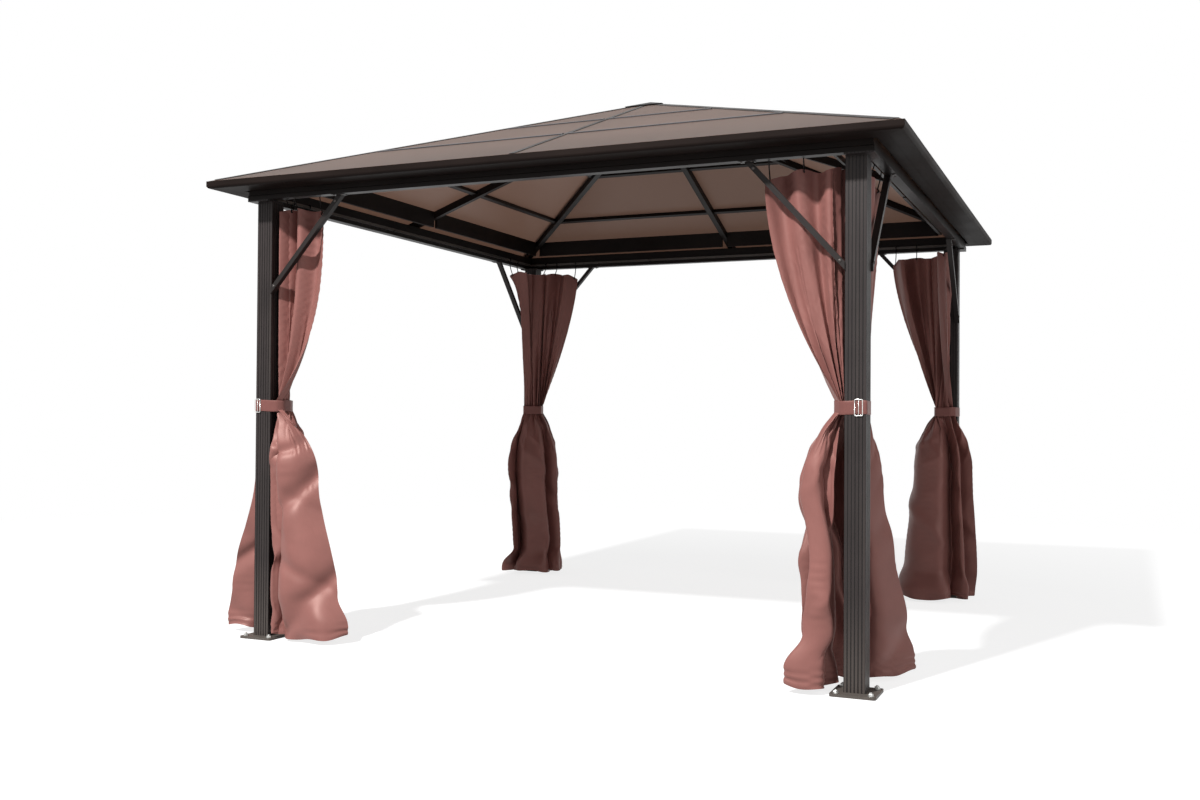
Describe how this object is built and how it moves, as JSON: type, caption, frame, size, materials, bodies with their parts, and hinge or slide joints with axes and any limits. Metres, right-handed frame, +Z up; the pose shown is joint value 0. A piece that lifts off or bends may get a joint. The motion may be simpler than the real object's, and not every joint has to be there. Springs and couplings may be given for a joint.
{
  "type": "metal gazebo",
  "caption": "Square metal gazebo with a hipped roof of brown translucent panels, fluted posts, knee braces and tied-back corner curtains.",
  "frame": {"origin": "on the ground in the middle of the square plan", "axes": "+Z up, -Y towards the front opening, +X to the right"},
  "size_m": [3, 3, 2.5671],
  "materials": {
    "frame": "dark brown-grey powder coat, satin",
    "roof_sheet": "brown-tinted translucent polycarbonate",
    "curtain": "brown polyester, soft sheen",
    "strap": "woven tie strap"
  },
  "bodies": {
    "root": {"post_front_right": "frame", "post_front_left": "frame", "post_rear_left": "frame", "post_rear_right": "frame", "base_plate_front_right": "frame", "base_plate_front_left": "frame", "base_plate_rear_left": "frame", "base_plate_rear_right": "frame", "beam_front": "frame", "beam_right": "frame", "beam_rear": "frame", "beam_left": "frame", "closure_board_front": "frame", "closure_board_right": "frame", "closure_board_rear": "frame", "closure_board_left": "frame", "fascia_front": "frame", "fascia_right": "frame", "fascia_rear": "frame", "fascia_left": "frame", "hip_rafter_front_right": "frame", "hip_rafter_front_left": "frame", "hip_rafter_rear_left": "frame", "hip_rafter_rear_right": "frame", "mid_rafter_front": "frame", "mid_rafter_right": "frame", "mid_rafter_rear": "frame", "mid_rafter_left": "frame", "lower_purlins": "frame", "upper_purlins": "frame", "apex_cap": "frame", "roof_panel_front": "roof_sheet", "roof_panel_right": "roof_sheet", "roof_panel_rear": "roof_sheet", "roof_panel_left": "roof_sheet", "braces_front_right": "frame", "braces_front_left": "frame", "braces_rear_left": "frame", "braces_rear_right": "frame", "curtain_rails": "frame", "curtain_front_right": "curtain", "curtain_front_left": "curtain", "curtain_rear_left": "curtain", "curtain_rear_right": "curtain", "tie_straps": "strap"}
  },
  "joints": []
}
